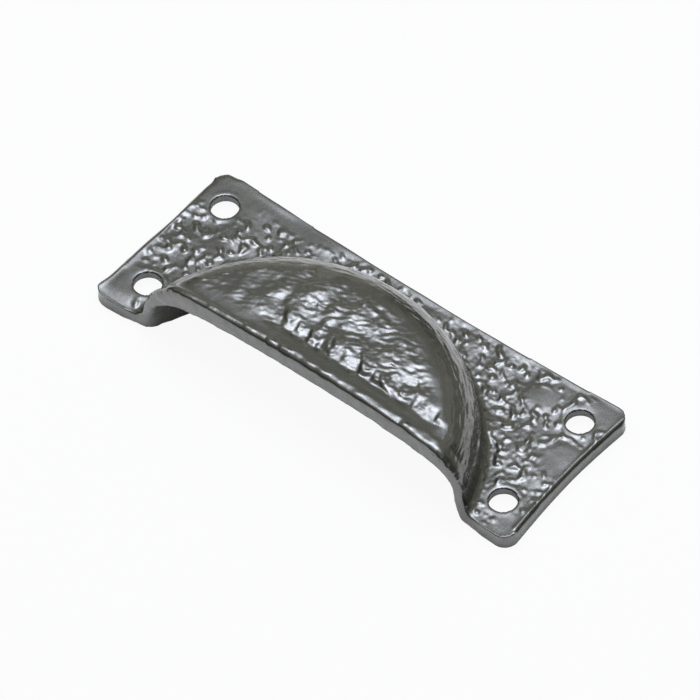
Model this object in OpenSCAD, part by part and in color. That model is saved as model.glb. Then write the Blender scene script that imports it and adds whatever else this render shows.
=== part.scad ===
// Cup pull: one iron casting, a screw plate with a half-round finger cup that opens along the front edge.
// The origin is the middle of the plate's back face. X runs along the pull, the mouth faces -Y and
// +Z points out from the drawer front.

/* [Plate] */
// Length of the plate along the drawer front
plate_length = 103; // [94:1:130]
// Width of the plate from its front edge to its back edge
plate_width = 39; // [37:0.5:50]
// Thickness of the plate
plate_thickness = 3.4; // [2.5:0.1:5]
// Radius of the plate's corners in plan
corner_radius = 3; // [1.5:0.25:5]
// Hollowing of each long side at its middle
side_waist = 1.3; // [0.4:0.1:2]
// Hollowing of each end at its middle
end_waist = 0.8; // [0.2:0.1:1.2]
// Width of the eased edge round the plate's face
edge_ease = 0.7; // [0.3:0.1:1.2]

/* [Screw holes] */
// Distance of the holes' centres from the plate's ends
hole_end_margin = 7; // [6:0.25:9]
// Distance of the front holes' centres from the front edge
hole_front_margin = 7.7; // [6:0.1:10]
// Distance of the back holes' centres from the back edge
hole_back_margin = 7.3; // [6:0.1:10]
// Diameter of each hole
hole_diameter = 5.6; // [3.5:0.1:6.4]
// Width of the eased rim at the front of each hole
hole_rim = 0.8; // [0.2:0.1:1]

/* [Cup] */
// Length of the foot that is left beside the cup along the front edge
foot_length = 10.5; // [10:0.25:16]
// Radius of the rounding on each foot's corner beside the mouth
foot_round = 6.5; // [4:0.5:7]
// Height up the leg at which that rounding has run out
foot_round_rise = 8.5; // [6:0.5:9]
// Outside reach of the cup behind the front edge, at the back of the plate
cup_reach = 32; // [26:0.5:34]
// Height of the crown's dome above the back of the plate, on the axis that the cup is turned about
cup_height = 18.9; // [16:0.1:26]
// Radius of the shallow dome of the crown
crown_radius = 450; // [300:25:900]
// Radius of the outside shoulder between the crown and the wall
shoulder_radius = 9.5; // [7:0.5:11]
// Lean of the wall from upright, in degrees
wall_lean = 4; // [1:0.5:10]
// Radius of the fillet where the cup grows out of the plate
root_fillet = 2.2; // [1:0.1:3]
// Width of the sloping band along the lip
lip_band = 1.4; // [0.8:0.1:4]
// Fall of the band from the dome's height to the lip's front face
lip_fall = 0.9; // [0.3:0.1:1.6]

/* [Hollow] */
// Thickness of the cup's wall at its foot
side_wall = 2.5; // [1.8:0.1:4]
// Thickness of the crown on the axis that the cup is turned about
crown_wall = 4.2; // [3:0.1:6]
// Radius of the hollow's shallow crown
inner_crown = 600; // [300:25:900]
// Radius of the inside shoulder
inner_shoulder = 7; // [4:0.5:8]

/* [Hidden] */
$fn = 96;
// Sides of a full circle where only a short arc of a large radius is used
wide_fn = 720;
// Steps along each arc of the cup's section
arc_steps = 8;
// Run of a cutting shape past the face that it cuts
overcut = 1;
// Share of a rounding's radius at which its centre lies inside the faces that it joins
round_cover = 0.95;
// Angle at which the root fillet runs out on the plate
fillet_runout = 12;
cast_grey = [0.30, 0.30, 0.29];

front_y = -plate_width / 2;
lip_y = front_y + side_waist;
hole_x = plate_length / 2 - hole_end_margin;
hole_rows = [front_y + hole_front_margin, plate_width / 2 - hole_back_margin];
corner_x = plate_length / 2 - corner_radius;
corner_y = plate_width / 2 - corner_radius;
side_radius = arc_radius(2 * corner_x, side_waist);
end_radius = arc_radius(2 * corner_y, end_waist);
cup_radius = arc_radius(plate_length - 2 * foot_length, cup_reach);
cup_axis_y = front_y + cup_reach - cup_radius;
inner_radius = cup_radius - side_wall;
inner_height = cup_height - crown_wall;

// Radius of an arc from its chord and its rise
function arc_radius(chord, rise) = (chord * chord / 4 + rise * rise) / (2 * rise);

// A point at a distance and an angle, measured from the X axis
function polar(length, angle) = length * [cos(angle), sin(angle)];

// Points along an arc, from one angle to another
function arc_points(centre, radius, from, to) =
    [for (i = [0 : arc_steps]) centre + polar(radius, from + (to - from) * i / arc_steps)];

// Centre of the shoulder arc that touches both the crown arc and the leaning wall
function shoulder_centre(half, height, crown_r, shoulder_r) =
    let (lean = tan(wall_lean))
    let (run = half - shoulder_r / cos(wall_lean))
    let (crown_z = height - crown_r)
    let (b = run * lean + crown_z)
    let (c = run * run + crown_z * crown_z - pow(crown_r - shoulder_r, 2))
    let (z = (b + sqrt(b * b - (1 + lean * lean) * c)) / (1 + lean * lean))
    [run - lean * z, z];

// Half of a depressed arch from its top down to the wall: a shallow crown and a round shoulder
function arch_points(half, height, crown_r, shoulder_r) =
    let (crown_centre = [0, height - crown_r])
    let (centre = shoulder_centre(half, height, crown_r, shoulder_r))
    let (meet = atan2(centre[1] - crown_centre[1], centre[0]))
    let (crown = arc_points(crown_centre, crown_r, 90, meet))
    let (shoulder = arc_points(centre, shoulder_r, meet, wall_lean))
    concat([for (i = [0 : arc_steps - 1]) crown[i]], shoulder);

// Puts a shape at each corner of the plate, turned to face outwards
module at_corners() {
    for (sx = [-1, 1], sy = [-1, 1])
        translate([sx * corner_x, sy * corner_y])
            mirror([sx < 0 ? 1 : 0, 0, 0])
                mirror([0, sy < 0 ? 1 : 0, 0])
                    children();
}

// Puts a shape at the centre of the long shallow arc of each side
module at_side_centres() {
    for (s = [-1, 1])
        translate([0, s * (plate_width / 2 - side_waist + side_radius)])
            children();
}

// Puts a shape at the centre of the shallow arc of each end
module at_end_centres() {
    for (s = [-1, 1])
        translate([s * (plate_length / 2 - end_waist + end_radius), 0])
            children();
}

// Plan of the casting: round corners, and each side drawn in between them
module waisted_plan() {
    difference() {
        union() {
            square([plate_length, 2 * corner_y], center = true);
            square([2 * corner_x, plate_width], center = true);
            at_corners()
                circle(corner_radius);
        }
        at_side_centres()
            circle(side_radius, $fn = wide_fn);
        at_end_centres()
            circle(end_radius, $fn = wide_fn);
    }
}

// A cone that eases the face's edge along an arc that bends inwards
module edge_cone(radius) {
    translate([0, 0, plate_thickness - edge_ease])
        cylinder(r1 = radius, r2 = radius + edge_ease + overcut, h = edge_ease + overcut, $fn = wide_fn);
}

// A block with a cone taken out of it that eases the face's edge round a corner
module corner_ease() {
    size = corner_radius + overcut;
    translate([0, 0, plate_thickness - edge_ease])
        difference() {
            cube([size, size, edge_ease + overcut]);
            translate([0, 0, -overcut])
                cylinder(
                    r1 = corner_radius + overcut,
                    r2 = corner_radius - edge_ease - overcut,
                    h = edge_ease + 2 * overcut
                );
        }
}

// The screw plate with its eased face edge
module plate() {
    difference() {
        linear_extrude(plate_thickness)
            waisted_plan();
        at_side_centres()
            edge_cone(side_radius);
        at_end_centres()
            edge_cone(end_radius);
        at_corners()
            corner_ease();
    }
}

// Section of the cup's outside, with the fillet that spreads its foot on the plate
module outer_profile() {
    centre_z = plate_thickness + root_fillet * cos(fillet_runout);
    wall_x = cup_radius - centre_z * tan(wall_lean);
    centre = [wall_x + root_fillet / cos(wall_lean), centre_z];
    fillet = arc_points(centre, root_fillet, 180 + wall_lean, 270 - fillet_runout);
    foot_x = fillet[arc_steps][0];
    arch = arch_points(cup_radius, cup_height, crown_radius, shoulder_radius);
    polygon(concat(arch, fillet, [[foot_x, 0], [0, 0]]));
}

// Section of the hollow, run on through the back of the plate
module inner_profile() {
    foot = [inner_radius + overcut * tan(wall_lean), -overcut];
    arch = arch_points(inner_radius, inner_height, inner_crown, inner_shoulder);
    polygon(concat(arch, [foot, [0, -overcut]]));
}

// Turns a section about the upright axis of the cup, which stands in front of the mouth
module cup_turned() {
    translate([0, cup_axis_y, 0])
        rotate_extrude()
            children();
}

// A wide cone that slopes the crown down to the lip, along the arc of the front side
module lip_cone() {
    slope = lip_band / lip_fall;
    translate([0, lip_y - side_radius, cup_height - lip_fall])
        cylinder(
            r1 = side_radius,
            r2 = side_radius + slope * (lip_fall + overcut),
            h = lip_fall + overcut,
            $fn = wide_fn
        );
}

// The outside of the cup, cut off at the mouth by the plan's front side
module cup_mass() {
    difference() {
        intersection() {
            linear_extrude(cup_height + overcut)
                waisted_plan();
            cup_turned()
                outer_profile();
        }
        lip_cone();
    }
}

// A block with a cone taken out of it that rounds a foot's corner, less and less up the leg
module foot_corner_ease() {
    inset = round_cover * foot_round;
    reach = inner_radius + inset;
    centre_y = front_y + inset;
    centre_x = sqrt(pow(reach, 2) - pow(centre_y - cup_axis_y, 2));
    back_y = cup_axis_y + (centre_y - cup_axis_y) * inner_radius / reach;
    leg_radius = inner_radius - foot_round_rise * tan(wall_lean);
    leg_x = sqrt(pow(leg_radius, 2) - pow(front_y - cup_axis_y, 2));
    slope = (norm([centre_x - leg_x, inset]) - foot_round) / foot_round_rise;
    width = foot_round + overcut;
    difference() {
        translate([centre_x - width, front_y - overcut, -overcut])
            cube([width, back_y - front_y + overcut, foot_round_rise + 2 * overcut]);
        translate([centre_x, centre_y, -2 * overcut])
            cylinder(
                r1 = foot_round - 2 * overcut * slope,
                r2 = foot_round + (foot_round_rise + 2 * overcut) * slope,
                h = foot_round_rise + 4 * overcut
            );
    }
}

// One screw hole with its eased front rim
module screw_hole() {
    radius = hole_diameter / 2;
    translate([0, 0, -overcut])
        cylinder(r = radius, h = plate_thickness + 2 * overcut);
    translate([0, 0, plate_thickness - hole_rim])
        cylinder(r1 = radius, r2 = radius + hole_rim + overcut, h = hole_rim + overcut);
}

module cup_pull() {
    color(cast_grey)
        difference() {
            union() {
                plate();
                cup_mass();
            }
            cup_turned()
                inner_profile();
            for (side = [0, 1])
                mirror([side, 0, 0])
                    foot_corner_ease();
            for (sx = [-1, 1], row = hole_rows)
                translate([sx * hole_x, row, 0])
                    screw_hole();
        }
}

cup_pull();
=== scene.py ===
"""A hammered cast-iron cup pull, lying on its back on a white table under a wide softbox."""
import math

import bpy
from mathutils import Matrix, Vector, noise


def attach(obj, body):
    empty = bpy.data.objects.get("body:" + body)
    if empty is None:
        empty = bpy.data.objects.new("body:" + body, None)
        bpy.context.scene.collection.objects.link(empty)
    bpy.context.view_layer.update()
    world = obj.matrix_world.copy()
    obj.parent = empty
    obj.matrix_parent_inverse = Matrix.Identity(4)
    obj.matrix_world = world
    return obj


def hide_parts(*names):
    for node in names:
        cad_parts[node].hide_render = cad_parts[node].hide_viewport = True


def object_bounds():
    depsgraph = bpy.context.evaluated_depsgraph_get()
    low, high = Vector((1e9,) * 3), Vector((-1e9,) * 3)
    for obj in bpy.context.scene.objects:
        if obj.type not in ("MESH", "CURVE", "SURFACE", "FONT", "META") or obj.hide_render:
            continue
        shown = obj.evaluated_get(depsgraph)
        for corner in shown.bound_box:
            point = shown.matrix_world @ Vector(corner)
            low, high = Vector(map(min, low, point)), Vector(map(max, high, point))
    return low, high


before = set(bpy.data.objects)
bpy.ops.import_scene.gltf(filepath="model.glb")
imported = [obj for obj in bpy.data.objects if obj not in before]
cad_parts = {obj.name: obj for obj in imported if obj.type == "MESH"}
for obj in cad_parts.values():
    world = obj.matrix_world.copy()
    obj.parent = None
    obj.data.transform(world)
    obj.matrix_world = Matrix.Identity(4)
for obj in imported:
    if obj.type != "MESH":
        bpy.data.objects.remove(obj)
cad_low, cad_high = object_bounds()

MM = 0.001
PICTURE_WIDTH = 700

# Sizes of the casting, in millimetres
plate_length = (cad_high.x - cad_low.x) / MM
plate_width = (cad_high.y - cad_low.y) / MM
plate_thickness = 3.4
side_waist = 1.3
end_waist = 0.8
foot_length = 10.5
cup_reach = 32.0
lip_below_top = 0.7
hole_radius = 2.8
hole_end_margin = 7.0
hole_front_margin = 7.7
hole_back_margin = 7.3
hole_x = plate_length / 2 - hole_end_margin
hole_rows = (-plate_width / 2 + hole_front_margin, plate_width / 2 - hole_back_margin)
front_y = -plate_width / 2
lip_y = front_y + side_waist
mouth_half = plate_length / 2 - foot_length
cup_radius = (mouth_half ** 2 + cup_reach ** 2) / (2 * cup_reach)
cup_axis_y = front_y + cup_reach - cup_radius
lip_height = (cad_high.z - cad_low.z) / MM - lip_below_top

# The screw holes as this casting has them, in millimetres: filled rims, a bore and a flare at the back
rim_filling = 1.2
bore_radius = hole_radius + 0.05
flare_width = 1.3
flare_height = 1.6
hole_sides = 96

# Unevenness of this casting, in millimetres
left_run_out = 1.05
left_draw_in = 0.55
cup_lean = 1.6
foot_slope = 0.8
lip_sag = 1.15
arris_filling = 0.25
edge_waver = 0.28

# The direction along which flakes and wrinkles are drawn out, and how far along it, across it and upwards
flow_turn = math.radians(28)
flow_stretch = (1.9, 0.85, 1.0)

# Fineness of the mesh: depth of the remesh's grid, and the share of the grid that the casting fills
remesh_depth = 8
remesh_scale = 0.735

# Height above the back, in millimetres, from which a face can belong to the front of the plate
top_face_height = 2.0


def linear(hex_colour):
    """Turns an sRGB hex colour into linear red, green, blue and alpha."""
    parts = [int(hex_colour[i:i + 2], 16) / 255 for i in (1, 3, 5)]
    return [p / 12.92 if p <= 0.04045 else ((p + 0.055) / 1.055) ** 2.4 for p in parts] + [1.0]


def ramp(value, start, end):
    """Rises evenly from 0 at start to 1 at end."""
    return min(1.0, max(0.0, (value - start) / (end - start)))


def fade(value, start, end):
    """Rises smoothly from 0 at start to 1 at end."""
    t = ramp(value, start, end)
    return t * t * (3 - 2 * t)


def band(value, start, full, falling, end):
    """Rises smoothly from start to full, and falls again from falling to end."""
    return fade(value, start, full) * (1 - fade(value, falling, end))


def wander(x, y, layer=0.0):
    """A smooth random height between about -1 and 1, with another pattern on each layer."""
    return noise.noise(Vector((x, y, layer)))


def select_only(piece):
    """Leaves one piece selected and active."""
    bpy.ops.object.select_all(action="DESELECT")
    piece.select_set(True)
    bpy.context.view_layer.objects.active = piece


def finish_with(piece, kind, **settings):
    """Adds a modifier with its settings and applies it."""
    select_only(piece)
    modifier = piece.modifiers.new(kind.lower(), kind)
    for name, value in settings.items():
        setattr(modifier, name, value)
    bpy.ops.object.modifier_apply(modifier=modifier.name)


def mask(piece, weight_at):
    """Makes a vertex group whose weight comes from each point's place in millimetres and its normal."""
    least_weight = 0.002
    group = piece.vertex_groups.new(name=weight_at.__name__)
    for vertex in piece.data.vertices:
        weight = weight_at(vertex.co / MM, vertex.normal)
        if weight > least_weight:
            group.add([vertex.index], min(1.0, weight), "REPLACE")
    return group.name


# Places on the casting, with all distances in millimetres

def from_cup_axis(p):
    """Distance in plan from the upright axis that the cup is turned about."""
    return math.hypot(p.x, p.y - cup_axis_y)


def inside_ridge(p):
    """Distance in plan from the foot of the cup's wall, inwards."""
    return cup_radius - from_cup_axis(p)


def along_ridge(p):
    """Distance along the cup's ridge from the middle of the cup."""
    return math.atan2(p.x, p.y - cup_axis_y) * cup_radius


def behind_lip(p):
    """Distance behind the middle of the lip's front."""
    return p.y - lip_y


def edge_margin(p):
    """Distance in plan from the plate's nearest edge."""
    side = plate_width / 2 - side_waist * (1 - (2 * p.x / plate_length) ** 2) - abs(p.y)
    end = plate_length / 2 - end_waist * (1 - (2 * p.y / plate_width) ** 2) - abs(p.x)
    return min(side, end)


def hole_margin(p):
    """Distance in plan from the nearest screw hole's edge."""
    row = min(hole_rows, key=lambda y: abs(y - p.y))
    return math.hypot(abs(p.x) - hole_x, p.y - row) - hole_radius


def on_crown(p, normal):
    """Whether a place lies on the outside of the cup, well above the plate."""
    return normal.z > 0.2 and p.z > 3 * plate_thickness


# Stretches of the plate's face that came out of the mould nearly smooth: centre, half length, half width
smooth_patches = [
    (-47.0, 16.0, 13.0, 7.0),
    (-30.0, 18.5, 16.0, 4.5),
    (-49.0, -16.0, 6.0, 9.0),
    (48.5, 17.0, 6.0, 5.0),
    (48.0, 2.5, 6.0, 5.0),
    (51.0, -17.0, 6.0, 6.0),
    (35.0, 12.5, 4.0, 3.0),
]


def smooth_share(p):
    """How far a place on the plate's face lies inside the smooth patches."""
    share = 0.0
    for x, y, half_length, half_width in smooth_patches:
        reach = math.hypot((p.x - x) / half_length, (p.y - y) / half_width)
        share = max(share, 1 - fade(reach, 0.6, 1.15))
    return share


def plate_face(p, normal):
    """The plate's face, up to the cup's foot, the edge and the holes."""
    if normal.z < 0.3 or not top_face_height < p.z < 2 * plate_thickness:
        return 0.0
    outside_cup = fade(from_cup_axis(p), cup_radius - 0.2, cup_radius + 1.4)
    return outside_cup * fade(edge_margin(p), 0.3, 1.6) * fade(hole_margin(p), 0.5, 1.6)


def plate_swell(p, normal):
    """Where the plate's face swells and sinks slowly, least in its smooth patches."""
    return plate_face(p, normal) * (1 - 0.6 * smooth_share(p))


def plate_blobs(p, normal):
    """Where single blobs stand on the plate's face."""
    return plate_face(p, normal) * (1 - 0.97 * smooth_share(p))


def plate_curls(p, normal):
    """Where the plate's face is crowded with small curls: mostly round the right foot of the cup."""
    right_side = fade(p.x, 2.0, 20.0)
    near_cup = 1 - fade(from_cup_axis(p), cup_radius + 6.0, cup_radius + 14.0)
    crowded = (1 - smooth_share(p)) * (0.3 + 0.7 * right_side * near_cup)
    return plate_face(p, normal) * (0.12 + 0.88 * crowded)


def hammered_field(p, normal):
    """The cup's hammered field: a half moon behind a smooth lip and inside a smooth ridge."""
    if not on_crown(p, normal):
        return 0.0
    calmer_left = 0.4 + 0.6 * fade(p.x, -20.0, -5.0)
    return fade(behind_lip(p), 4.2, 6.0) * fade(inside_ridge(p), 7.5, 11.5) * calmer_left


def field_flakes(p, normal):
    """Where the field is broken into small flakes, less towards its left end."""
    return hammered_field(p, normal) * (0.6 + 0.4 * fade(p.x, -18.0, -4.0))


def lip_channel(p, normal):
    """The smooth hollow that falls away behind the lip and ends in a broken step up to the field."""
    if not on_crown(p, normal):
        return 0.0
    start = 1.5
    step = 4.9 + 0.7 * wander(p.x / 5.0, 3.0)
    step_length = 1.4 + 3.4 * fade(wander(p.x / 3.2, 9.0), -0.2, 0.2)
    fall = ramp(behind_lip(p), start, step) * (1 - fade(behind_lip(p), step, step + step_length))
    shallow_left = 0.1 + 0.9 * fade(p.x, -20.0, -8.0)
    return fall * shallow_left * fade(inside_ridge(p), 5.0, 9.0)


def field_rise(p, normal):
    """The slow rise of the field towards the back, which ends in a fall to the ridge."""
    if not on_crown(p, normal):
        return 0.0
    rise = ramp(behind_lip(p), 5.0, 18.0) * fade(inside_ridge(p), 7.5, 12.0)
    return rise * fade(p.x, -16.0, 2.0)


def left_crown(p, normal):
    """The left end of the crown, behind the lip and inside the ridge."""
    if not on_crown(p, normal):
        return 0.0
    left_side = 1 - fade(p.x, -12.0, -4.0)
    return fade(inside_ridge(p), 4.0, 9.0) * fade(behind_lip(p), 2.0, 6.0) * left_side


def left_folds(p, normal):
    """Long soft folds that run from front to back across the left end of the crown."""
    return left_crown(p, normal) * (0.5 + 0.7 * wander(p.x / 3.4, p.y / 9.0, 33.0))


def field_scales(p, normal):
    """The front of the field: scales that sink slowly to the right and end in a short step up."""
    if not on_crown(p, normal):
        return 0.0
    scale_length = 6.4
    sinking_share = 0.86
    warp = 0.45 * wander(p.x / 6.0, behind_lip(p) / 3.0, 12.0)
    phase = (p.x / scale_length + behind_lip(p) / 14.0 + warp) % 1.0
    sunk = phase / sinking_share if phase < sinking_share else (1 - phase) / (1 - sinking_share)
    return sunk * band(behind_lip(p), 3.6, 5.4, 8.5, 13.0) * band(p.x, -18.0, -8.0, 20.0, 27.0)


def right_rim(p, normal):
    """The right end of the crown, which stands up a little before it rolls over at the ridge."""
    if not on_crown(p, normal):
        return 0.0
    right_front = fade(p.x, 22.0, 29.0) * (1 - fade(behind_lip(p), 6.0, 12.0))
    return band(inside_ridge(p), 1.5, 4.5, 5.5, 9.5) * right_front


def lip_filling(p, normal):
    """Stretches of the lip where the crown runs on to a sharper edge: most of its left half, then gaps."""
    if not on_crown(p, normal):
        return 0.0
    broken = 0.5 + 1.1 * wander(p.x / 3.0, 21.0) - 0.25 * fade(p.x, -10.0, 24.0)
    left_share = 0.9 * (1 - fade(p.x, -24.0, -4.0))
    return band(behind_lip(p), -0.3, 0.2, 0.9, 1.8) * max(left_share, fade(broken, 0.2, 0.8))


def lip_lumps(p, normal):
    """The lip's rounded brow, a little lumpy along its length and calmer at its left end."""
    if not on_crown(p, normal):
        return 0.0
    lumps = 0.5 + 0.8 * wander(p.x / 2.6, behind_lip(p) / 1.4, 5.0)
    calmer_left = 0.3 + 0.7 * fade(p.x, -24.0, -2.0)
    return band(behind_lip(p), -0.2, 0.6, 1.6, 2.8) * lumps * calmer_left


def crown_skin(p, normal):
    """The whole crown, which is never quite even."""
    return 1.0 if on_crown(p, normal) else 0.0


def ridge(p, normal):
    """The cup's rounded ridge, which shows the long marks of dressing."""
    if p.z < 2 * plate_thickness or normal.z < 0.1:
        return 0.0
    return (1 - fade(inside_ridge(p), 5.0, 8.0)) * fade(behind_lip(p), 0.5, 3.0)


def wall_streaks(p, normal):
    """Upright streaks on the cup's outer wall."""
    if not plate_thickness + 1.0 < p.z < 4 * plate_thickness or normal.z > 0.7:
        return 0.0
    outer_wall = 1 - fade(inside_ridge(p), 1.0, 2.0)
    return outer_wall * (0.5 + 0.5 * wander(along_ridge(p) / 1.1, p.z / 9.0, 2.0))


def lip_underside(p, normal):
    """The lower half of the lip, which hangs down a little into the mouth, most near its ends."""
    near_lip = (1 - fade(behind_lip(p), 1.5, 5.0)) * (1 - fade(abs(p.x), 33.0, 40.0))
    lower_half = band(p.z, 2 * plate_thickness, 3 * plate_thickness, lip_height - 3.2, lip_height - 1.2)
    return near_lip * lower_half * (0.7 + 0.3 * fade(abs(p.x), 22.0, 32.0))


def mouth_edge(p, normal):
    """Where the lip and the feet are rounded at the cup's mouth."""
    in_mouth = 1 - fade(behind_lip(p), 2.0, 4.0)
    return in_mouth * (1 - fade(abs(p.x), mouth_half + 1.0, mouth_half + 4.0))


def above_back(p, normal):
    """All but the arris round the back of the casting, which stays crisp."""
    return fade(p.z, 0.4, 1.4)


def edge_faces(p, normal):
    """The plate's upright edges, which are a little uneven."""
    return (1 - fade(edge_margin(p), 0.3, 1.5)) * (1 - fade(p.z, plate_thickness, 2 * plate_thickness))


def plate_arris(p, normal):
    """The eased edge of the plate's face, which is tighter than a plain bevel."""
    if not 0.3 < normal.z < 0.95 or not top_face_height < p.z < plate_thickness + 0.1:
        return 0.0
    return 1 - fade(edge_margin(p), 0.6, 1.0)


def left_end(p, normal):
    """The left end of the plate, which runs out a little towards the front."""
    outside_holes = fade(-p.x, hole_x + hole_radius, plate_length / 2 - 0.5)
    front_half = 1 - fade(p.y, -6.0, 6.0)
    front_corner = 1 - fade(p.y, -19.0, -14.0)
    return outside_holes * (0.65 * front_half + 0.35 * front_corner)


def left_back(p, normal):
    """The back of the plate's left end, which is drawn in a little."""
    outside_holes = fade(-p.x, hole_x + hole_radius, plate_length / 2 - 2.0)
    return outside_holes * fade(p.y, 6.0, 16.0)


def back_corner(p, normal):
    """The left back corner, which is rounder than the others."""
    return 1 - fade(math.hypot(p.x + plate_length / 2, p.y - plate_width / 2), 3.5, 6.0)


def leaning_cup(p, normal):
    """The cup, which leans a little to the right of its foot, most at its left end."""
    return fade(p.z, 5.0, 13.0) * (1 - 0.8 * fade(p.x, -38.0, -22.0))


def left_foot(p, normal):
    """The front of the left foot, which slopes down towards its edge and the cup."""
    if normal.z < 0.3 or p.z > 1.5 * plate_thickness:
        return 0.0
    slope_length = 3.0
    towards_cup = (p.x + plate_length / 2) / foot_length
    towards_front = max(0.0, 1 - (p.y - front_y) / slope_length)
    return towards_front * (0.3 + 0.7 * towards_cup) * fade(-p.x, mouth_half - 2.0, mouth_half)


def sanded(p, normal):
    """The hollow and the upright faces, which keep the grain of the sand mould."""
    return (1 - fade(normal.z, 0.1, 0.3)) * fade(p.z, 0.3, 1.2) * fade(hole_margin(p), 0.3, 0.9)


# The casting

def relief_texture(name, size, limits=None, **settings):
    """A solid cloud texture with features of a size given in millimetres, cut off beyond two limits."""
    texture = bpy.data.textures.new(name, "CLOUDS")
    texture.noise_scale = size * MM
    for key, value in settings.items():
        setattr(texture, key, value)
    if limits:
        texture.use_color_ramp = True
        texture.color_ramp.interpolation = "EASE"
        for element, place in zip(texture.color_ramp.elements, limits):
            element.position = place
            element.color = (0, 0, 0, 1) if place == limits[0] else (1, 1, 1, 1)
    return texture


def push(piece, weight_at, depth, direction="NORMAL"):
    """Moves the surface by a depth in millimetres, times the weight at each place."""
    finish_with(
        piece, "DISPLACE", direction=direction, strength=depth * MM, mid_level=0.0,
        vertex_group=mask(piece, weight_at),
    )


def hammer(piece, texture, group, depth, middle=0.5, **placing):
    """Pushes the surface in and out by a texture, within a vertex group; depth in millimetres."""
    finish_with(
        piece, "DISPLACE", texture=texture, strength=depth * MM, mid_level=middle,
        vertex_group=group, **placing,
    )


def soften(piece, weight_at, rounds):
    """Smooths the mesh a number of times, by the weight at each place."""
    finish_with(piece, "SMOOTH", factor=0.5, iterations=rounds, vertex_group=mask(piece, weight_at))


def map_ridge(piece):
    """Gives each corner of the mesh its place along the cup's ridge, drawn out, and across it."""
    drawn_out = 4
    layer = piece.data.uv_layers.new(name="ridge marks")
    for loop in piece.data.loops:
        p = piece.data.vertices[loop.vertex_index].co / MM
        layer.data[loop.index].uv = (along_ridge(p) / drawn_out, from_cup_axis(p) - p.z)
    return layer.name


def add_flow():
    """An empty that turns a texture and draws it out along the flow direction."""
    bpy.ops.object.select_all(action="DESELECT")
    bpy.ops.object.empty_add(rotation=(0, 0, flow_turn))
    flow = bpy.context.active_object
    flow.scale = flow_stretch
    return flow


def copy_solid():
    """A copy of the construction's solid, with its points merged and without its material."""
    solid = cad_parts["cup_pull"]
    casting = bpy.data.objects.new("hammered_casting", solid.data.copy())
    bpy.context.scene.collection.objects.link(casting)
    casting.data.materials.clear()
    select_only(casting)
    bpy.ops.object.mode_set(mode="EDIT")
    bpy.ops.mesh.select_all(action="SELECT")
    bpy.ops.mesh.remove_doubles(threshold=0.001 * MM)
    bpy.ops.object.mode_set(mode="OBJECT")
    return casting


def shape_holes(piece, operation, low, high, low_radius, high_radius):
    """Adds or takes away a cone at each screw hole, between two heights in millimetres."""
    for x in (-hole_x, hole_x):
        for y in hole_rows:
            bpy.ops.object.select_all(action="DESELECT")
            bpy.ops.mesh.primitive_cone_add(
                vertices=hole_sides, radius1=low_radius * MM, radius2=high_radius * MM,
                depth=(high - low) * MM, location=(x * MM, y * MM, (low + high) / 2 * MM),
            )
            cone = bpy.context.active_object
            finish_with(piece, "BOOLEAN", operation=operation, solver="EXACT", object=cone)
            bpy.data.objects.remove(cone)


def bore_holes(casting):
    """Gives the screw holes tight rims, and walls that open towards the back as a mould leaves them."""
    sunk = 0.01
    beyond = 1.0
    overlap = 0.1
    filled = hole_radius + rim_filling
    shape_holes(casting, "UNION", plate_thickness - rim_filling, plate_thickness - sunk, filled, filled)
    shape_holes(casting, "DIFFERENCE", -beyond, plate_thickness + beyond, bore_radius, bore_radius)
    shape_holes(
        casting, "DIFFERENCE", -overlap, flare_height, bore_radius + flare_width, bore_radius - overlap,
    )


def make_uneven(casting):
    """Gives the casting its uneven edges and rounded arrises."""
    push(casting, left_end, depth=-left_run_out, direction="X")
    push(casting, left_back, depth=left_draw_in, direction="X")
    push(casting, leaning_cup, depth=cup_lean, direction="X")
    push(casting, left_foot, depth=-foot_slope, direction="Z")
    push(casting, lip_underside, depth=-lip_sag, direction="Z")
    push(casting, plate_arris, depth=arris_filling)
    waver = relief_texture("edge waver", 9.0, noise_depth=0)
    hammer(casting, waver, mask(casting, edge_faces), depth=edge_waver)
    soften(casting, above_back, rounds=3)
    soften(casting, back_corner, rounds=16)
    soften(casting, mouth_edge, rounds=14)


def refine_front(casting):
    """Gives the faces that show the relief a finer mesh."""
    least_upright = 0.15
    bpy.ops.object.mode_set(mode="EDIT")
    bpy.ops.mesh.select_all(action="DESELECT")
    bpy.ops.object.mode_set(mode="OBJECT")
    for face in casting.data.polygons:
        face.select = face.center.z > top_face_height * MM and face.normal.z > least_upright
    bpy.ops.object.mode_set(mode="EDIT")
    bpy.ops.mesh.select_mode(type="FACE")
    bpy.ops.mesh.subdivide(number_cuts=1, smoothness=0.0)
    bpy.ops.object.mode_set(mode="OBJECT")
    soften(casting, above_back, rounds=2)


def add_plate_relief(casting):
    """The swells, blobs and curls of the plate's face."""
    swell = mask(casting, plate_swell)
    blobs = mask(casting, plate_blobs)
    curls = mask(casting, plate_curls)
    blob_shapes = relief_texture("plate blobs", 1.4, limits=(0.42, 1.0), noise_depth=0)
    hammer(casting, relief_texture("plate swell", 6.0, noise_depth=0), swell, depth=0.5, middle=0.6)
    hammer(casting, blob_shapes, blobs, depth=0.36, middle=0.2)
    hammer(casting, relief_texture("plate curls", 0.9, noise_depth=1), curls, depth=0.14)


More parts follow.
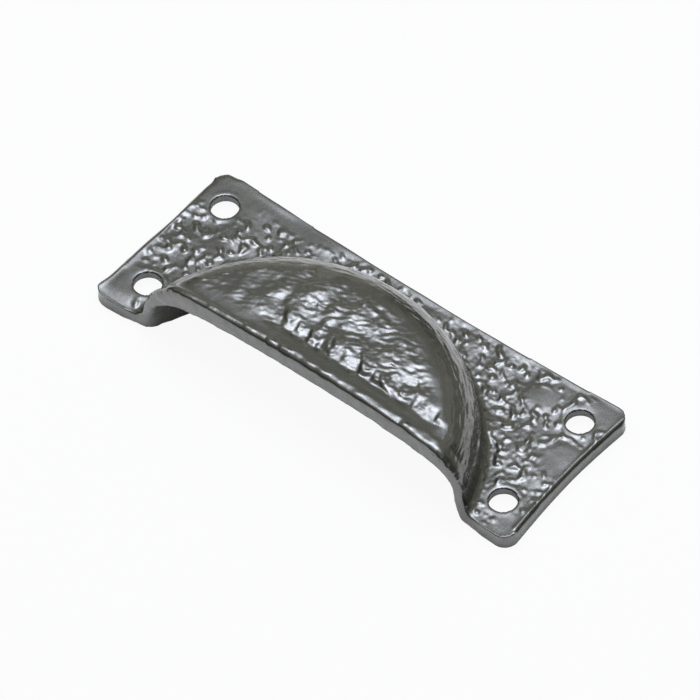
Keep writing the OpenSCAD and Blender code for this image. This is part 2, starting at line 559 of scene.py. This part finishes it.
def add_crown_relief(casting):
    """The lip, the channel, the hammered field and the folded left end of the cup's crown."""
    hammered = mask(casting, hammered_field)
    flakes = mask(casting, field_flakes)
    push(casting, lip_channel, depth=-0.48)
    push(casting, field_scales, depth=-0.252)
    push(casting, left_folds, depth=0.45)
    push(casting, right_rim, depth=0.3)
    push(casting, field_rise, depth=0.32)
    push(casting, lip_filling, depth=0.32)
    push(casting, lip_lumps, depth=0.12)
    hammer(casting, relief_texture("crown skin", 2.4, noise_depth=2), mask(casting, crown_skin), depth=0.09)
    hammer(casting, relief_texture("field folds", 5.0, noise_depth=0), hammered, depth=0.8, middle=0.6)

    # Flakes and wrinkles are drawn out along one direction
    flow = add_flow()
    drawn_out = {"texture_coords": "OBJECT", "texture_coords_object": flow}
    flake_shapes = relief_texture("field flakes", 0.95, noise_depth=1)
    hammer(casting, flake_shapes, flakes, depth=0.3, middle=0.6, **drawn_out)
    wrinkles = mask(casting, left_crown)
    hammer(casting, relief_texture("left wrinkles", 0.8, noise_depth=1), wrinkles, depth=0.15, **drawn_out)
    bpy.data.objects.remove(flow)
    creases = relief_texture("field creases", 2.6, noise_type="HARD_NOISE", noise_depth=0)
    hammer(casting, creases, flakes, depth=-0.2)


def add_wall_relief(casting):
    """The streaks on the wall, the marks along the ridge and the grain of the sand mould."""
    push(casting, wall_streaks, depth=0.04)

    # The ridge's map counts whole millimetres, where the other textures are placed in metres
    marks = relief_texture("ridge marks", 1.6 / MM, noise_depth=2)
    hammer(
        casting, marks, mask(casting, ridge), depth=0.26,
        texture_coords="UV", uv_layer=map_ridge(casting),
    )
    hammer(casting, relief_texture("sand grain", 1.4, noise_depth=1), mask(casting, sanded), depth=0.16)


def make_casting():
    """The casting: the construction's solid, with rounded arrises and the relief of its sand mould."""
    casting = copy_solid()
    bore_holes(casting)
    finish_with(casting, "REMESH", mode="SHARP", octree_depth=remesh_depth, scale=remesh_scale)
    make_uneven(casting)
    refine_front(casting)
    add_plate_relief(casting)
    add_crown_relief(casting)
    add_wall_relief(casting)
    casting.vertex_groups.clear()

    # The back lies flat
    for vertex in casting.data.vertices:
        vertex.co.z = max(0.0, vertex.co.z)
    select_only(casting)
    bpy.ops.object.shade_smooth()
    return casting


# Materials

def add_node(tree, kind, settings=None, links=None, **inputs):
    """Adds a node, sets its properties and input values, and links inputs from other nodes' outputs."""
    node = tree.nodes.new(kind)
    for name, value in (settings or {}).items():
        setattr(node, name, value)
    for name, value in inputs.items():
        node.inputs[name.replace("_", " ")].default_value = value
    for name, output in (links or {}).items():
        tree.links.new(output, node.inputs[name])
    return node


def start_material(name):
    """A new material with an empty node tree."""
    material = bpy.data.materials.new(name)
    material.use_nodes = True
    material.node_tree.nodes.clear()
    return material


def dark_cast_iron():
    """Cast iron from a sand mould, blackened and waxed."""
    # To the eye: a dark grey metal with a fine grain, faint blotches and soft bright reflections
    grain_size = 0.5 * MM
    blotch_size = 2.2 * MM
    blotch_range = (0.3, 0.7)
    blotch_colours = ("#6f6f6c", "#7f7f7d")
    material = start_material("dark_cast_iron")
    tree = material.node_tree
    place = add_node(tree, "ShaderNodeTexCoord")
    grain = add_node(
        tree, "ShaderNodeTexNoise", links={"Vector": place.outputs["Object"]},
        Scale=1 / grain_size, Detail=3.0, Roughness=0.6,
    )
    grain_bump = add_node(
        tree, "ShaderNodeBump", links={"Height": grain.outputs["Fac"]},
        Strength=0.2, Distance=0.08 * MM,
    )
    blotches = add_node(
        tree, "ShaderNodeTexNoise", links={"Vector": place.outputs["Object"]},
        Scale=1 / blotch_size, Detail=4.0, Roughness=0.6,
    )
    tone = add_node(tree, "ShaderNodeValToRGB", links={"Fac": blotches.outputs["Fac"]})
    for element, position, colour in zip(tone.color_ramp.elements, blotch_range, blotch_colours):
        element.position = position
        element.color = linear(colour)
    polish = add_node(
        tree, "ShaderNodeMapRange", links={"Value": blotches.outputs["Fac"]},
        From_Min=blotch_range[0], From_Max=blotch_range[1], To_Min=0.34, To_Max=0.2,
    )
    shader = add_node(
        tree, "ShaderNodeBsdfPrincipled",
        links={
            "Base Color": tone.outputs["Color"], "Roughness": polish.outputs["Result"],
            "Normal": grain_bump.outputs["Normal"],
        },
        Metallic=1.0, Coat_Weight=1.0, Coat_Roughness=0.15,
    )
    add_node(tree, "ShaderNodeOutputMaterial", links={"Surface": shader.outputs["BSDF"]})
    return material


def white_table():
    """Matt white board, which keeps a faint shadow of the casting."""
    # To the eye: nearly pure white, but in the casting's reflections it carries painted shade: a little
    # greyer all over, and darker close to the casting
    whiteness = 0.93
    shade_reach = 40 * MM
    material = start_material("white_table")
    tree = material.node_tree
    light_path = add_node(tree, "ShaderNodeLightPath")
    # Painted shade in reflections: the board's glow is dimmed by its ambient occlusion squared, times a grey
    open_sky = add_node(
        tree, "ShaderNodeAmbientOcclusion", settings={"samples": 4},
        Distance=shade_reach, Color=linear("#cfcfcf"),
    )
    shade = add_node(
        tree, "ShaderNodeMath", settings={"operation": "MULTIPLY"},
        links={0: open_sky.outputs["AO"], 1: open_sky.outputs["Color"]},
    )
    mirrored = add_node(
        tree, "ShaderNodeMath", settings={"operation": "MULTIPLY"},
        links={0: light_path.outputs["Is Glossy Ray"], 1: shade.outputs[0]},
    )
    seen = add_node(
        tree, "ShaderNodeMath", settings={"operation": "MAXIMUM"},
        links={0: light_path.outputs["Is Camera Ray"], 1: mirrored.outputs[0]},
    )
    shown = add_node(
        tree, "ShaderNodeMath", settings={"operation": "MAXIMUM"},
        links={0: seen.outputs[0], 1: light_path.outputs["Is Transmission Ray"]},
    )
    share = add_node(
        tree, "ShaderNodeMath", settings={"operation": "MULTIPLY"}, links={0: shown.outputs[0]},
    )
    share.inputs[1].default_value = whiteness
    board = add_node(tree, "ShaderNodeBsdfDiffuse", Color=linear("#f4f4f4"))
    glow = add_node(tree, "ShaderNodeEmission", Color=linear("#ffffff"), Strength=1.0)
    mixed = add_node(
        tree, "ShaderNodeMixShader",
        links={0: share.outputs[0], 1: board.outputs["BSDF"], 2: glow.outputs["Emission"]},
    )
    add_node(tree, "ShaderNodeOutputMaterial", links={"Surface": mixed.outputs["Shader"]})
    return material


# Stage, lights and camera

def make_table():
    """A wide white table that the pull lies on."""
    table_size = 12.0
    table_gap = 0.05 * MM
    bpy.ops.object.select_all(action="DESELECT")
    bpy.ops.mesh.primitive_plane_add(size=table_size, location=(0, 0, -table_gap))
    table = bpy.context.active_object
    table.name = "white_table"
    table.data.materials.append(white_table())


def add_softbox(name, place, width, radiance, colour):
    """A round softbox of a given brightness, pointed at the casting."""
    place = Vector(place)
    bpy.ops.object.select_all(action="DESELECT")
    bpy.ops.object.light_add(type="AREA", location=place)
    lamp = bpy.context.active_object
    lamp.name = name
    lamp.rotation_euler = (-place).to_track_quat("-Z", "Y").to_euler()
    lamp.data.shape = "DISK"
    lamp.data.size = width
    lamp.data.energy = radiance * math.pi * math.pi * width * width / 4
    lamp.data.color = linear(colour)[:3]


# One softbox overhead, a little behind and to the left, which is brightest in the middle, and two dim
# reflectors behind the casting: name, place and width in metres, brightness, colour
softbox_place = Vector((-0.062, 0.093, 0.608))
cool_white = "#eaf0ff"
warm_white = "#fffff0"
softboxes = [
    ("softbox_middle", softbox_place, 0.286, 3.4, cool_white),
    ("softbox_ring", softbox_place * 1.01, 0.53, 1.7, cool_white),
    ("softbox_rim", softbox_place * 1.02, 0.85, 0.3, cool_white),
    ("softbox_skirt", softbox_place * 1.03, 2.0, 0.22, warm_white),
    ("left_reflector", (-0.66, 0.74, 0.14), 0.72, 0.35, warm_white),
    ("right_reflector", (0.25, 0.90, 0.28), 0.9, 0.16, warm_white),
]


def set_surroundings():
    """The dim grey studio round the table."""
    world = bpy.data.worlds.new("studio")
    bpy.context.scene.world = world
    world.use_nodes = True
    background = world.node_tree.nodes["Background"]
    background.inputs["Color"].default_value = linear(warm_white)
    background.inputs["Strength"].default_value = 0.1


# The view, with the scale and the place of the plate's middle in the picture
view_azimuth = math.radians(41.9)
view_elevation = math.radians(51.87)
view_roll = math.radians(-3.94)
view_distance = 3.0
pixels_per_mm = 5.12
middle_pixel = (362.9, 363.3)


def make_camera():
    """A long lens that looks down on the pull from the front right."""
    right = Vector((math.cos(view_azimuth), math.sin(view_azimuth), 0))
    level = math.cos(view_elevation)
    back = Vector((math.sin(view_azimuth) * level, -math.cos(view_azimuth) * level, math.sin(view_elevation)))
    up = back.cross(right)
    turned_right = math.cos(view_roll) * right + math.sin(view_roll) * up
    turned_up = math.cos(view_roll) * up - math.sin(view_roll) * right
    across = (PICTURE_WIDTH / 2 - middle_pixel[0]) / pixels_per_mm * MM
    upwards = (middle_pixel[1] - PICTURE_WIDTH / 2) / pixels_per_mm * MM
    place = back * view_distance + turned_right * across + turned_up * upwards
    data = bpy.data.cameras.new("camera")
    data.sensor_width = 36.0
    data.lens = data.sensor_width * pixels_per_mm * view_distance / MM / PICTURE_WIDTH
    data.clip_end = 20.0
    camera = bpy.data.objects.new("camera", data)
    bpy.context.scene.collection.objects.link(camera)
    turn = Matrix((turned_right, turned_up, back)).transposed().to_4x4()
    camera.matrix_world = Matrix.Translation(place) @ turn
    bpy.context.scene.camera = camera


casting = make_casting()
casting.data.materials.append(dark_cast_iron())
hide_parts("cup_pull")
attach(casting, "root")

make_table()
for softbox in softboxes:
    add_softbox(*softbox)
set_surroundings()
make_camera()
bpy.context.scene.view_settings.view_transform = "Standard"
